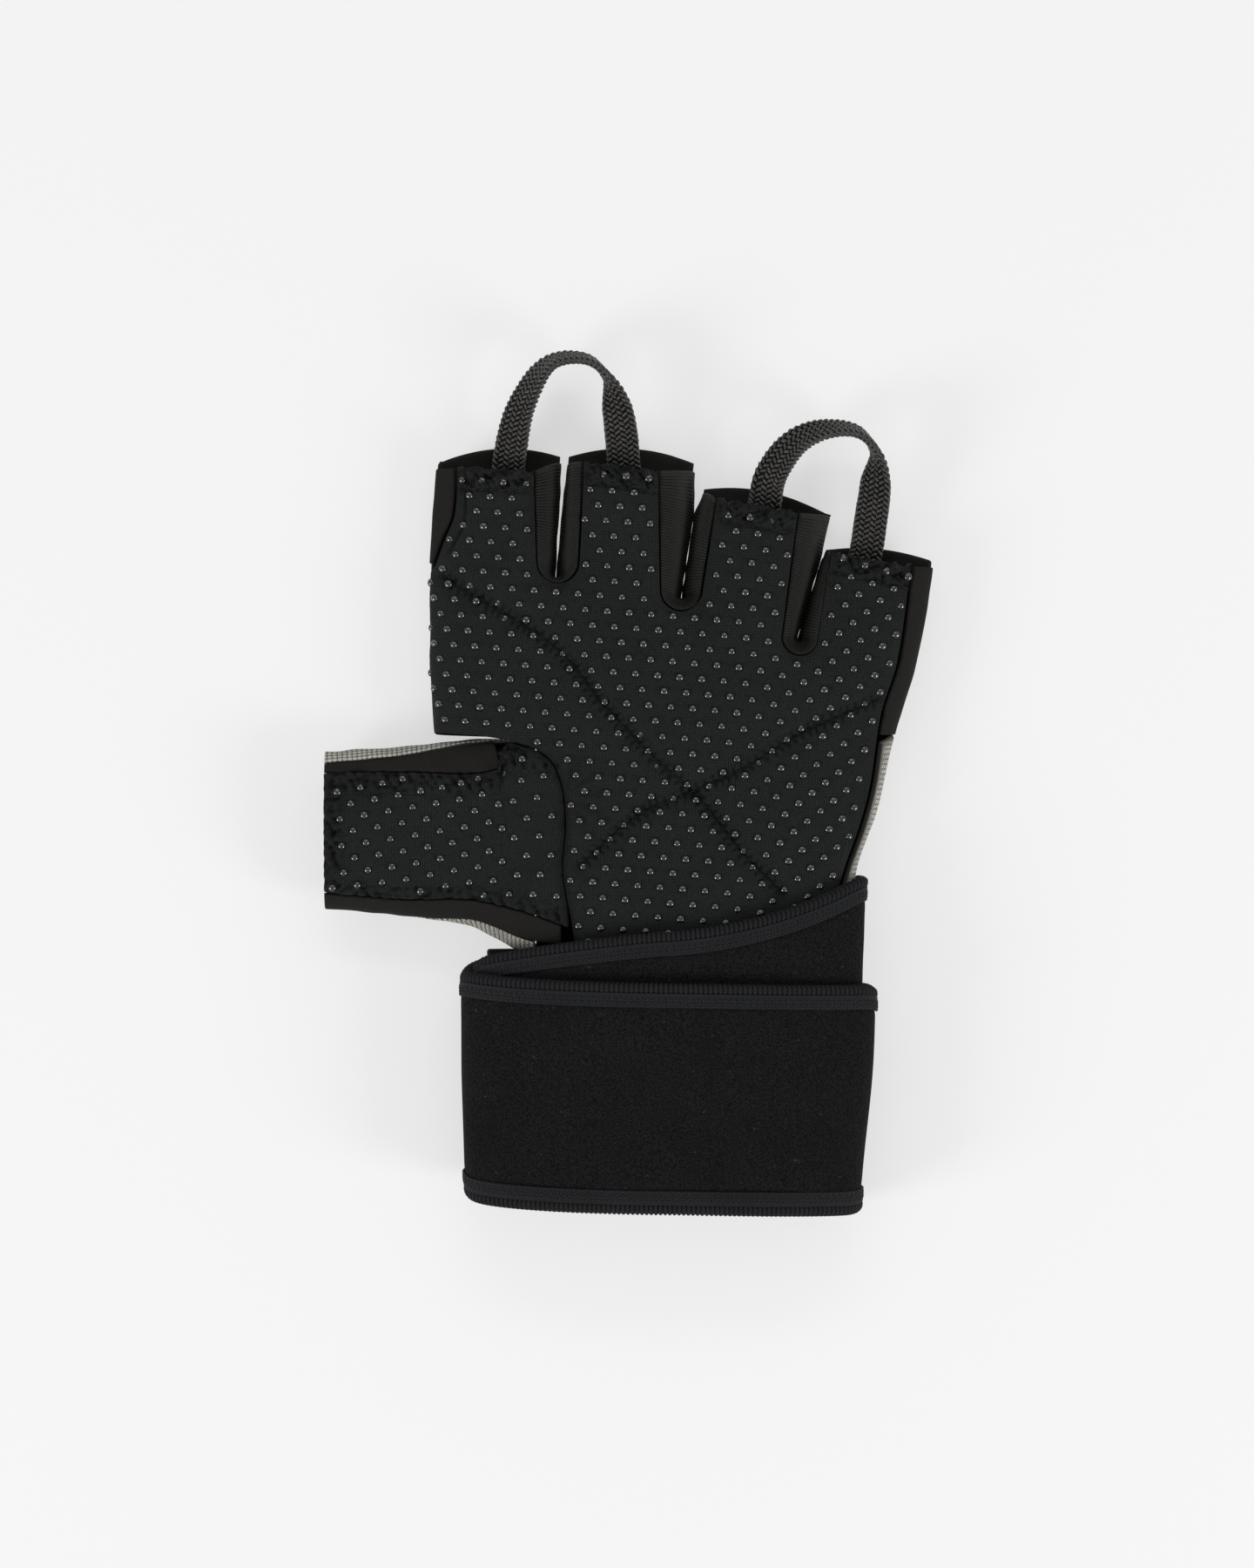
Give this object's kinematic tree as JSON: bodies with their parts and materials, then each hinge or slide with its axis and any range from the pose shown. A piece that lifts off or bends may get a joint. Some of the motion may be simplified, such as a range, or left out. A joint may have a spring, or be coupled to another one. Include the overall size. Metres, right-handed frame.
{
  "type": "weightlifting glove",
  "caption": "Half-finger weightlifting glove for the left hand, lying palm up: dotted padded palm, mesh back, pull loops between fingers and a closed wrist wrap.",
  "frame": {"origin": "middle of the underside, where the glove lies on its back", "axes": "+Y points to the fingertips, +Z is the palm's side, the thumb lies towards -X"},
  "size_m": [0.1404, 0.2006, 0.0251],
  "materials": {
    "palm_knit": "fine charcoal knit, quilted over foam",
    "grip_dots": "glossy black domes printed on the knit",
    "back_mesh": "light warm grey waffle mesh",
    "black_cloth": "plain matt black stretch cloth",
    "ribbed_elastic": "black elastic with fine ribs",
    "loop_braid": "flat braid of shiny dark yarn",
    "neoprene": "jersey faced neoprene",
    "binding_tape": "ribbed stretch binding with a stitch row",
    "hook_tape": "black hook tape",
    "sewing_thread": "black sewing thread"
  },
  "bodies": {
    "root": {"palm_panel": "palm_knit", "back_panel": "back_mesh", "index_side_strip": "black_cloth", "little_side_strip": "black_cloth", "index_middle_gusset": "ribbed_elastic", "middle_ring_gusset": "ribbed_elastic", "ring_little_gusset": "ribbed_elastic", "thumb_palm_panel": "palm_knit", "thumb_back_panel": "back_mesh", "thumb_upper_strip": "black_cloth", "thumb_lower_strip": "black_cloth", "cuff_panel": "black_cloth", "index_middle_loop": "loop_braid", "ring_little_loop": "loop_braid", "wrist_wrap": "neoprene", "wrap_upper_binding": "binding_tape", "wrap_lower_binding": "binding_tape", "closure_tab": "hook_tape"}
  },
  "joints": []
}
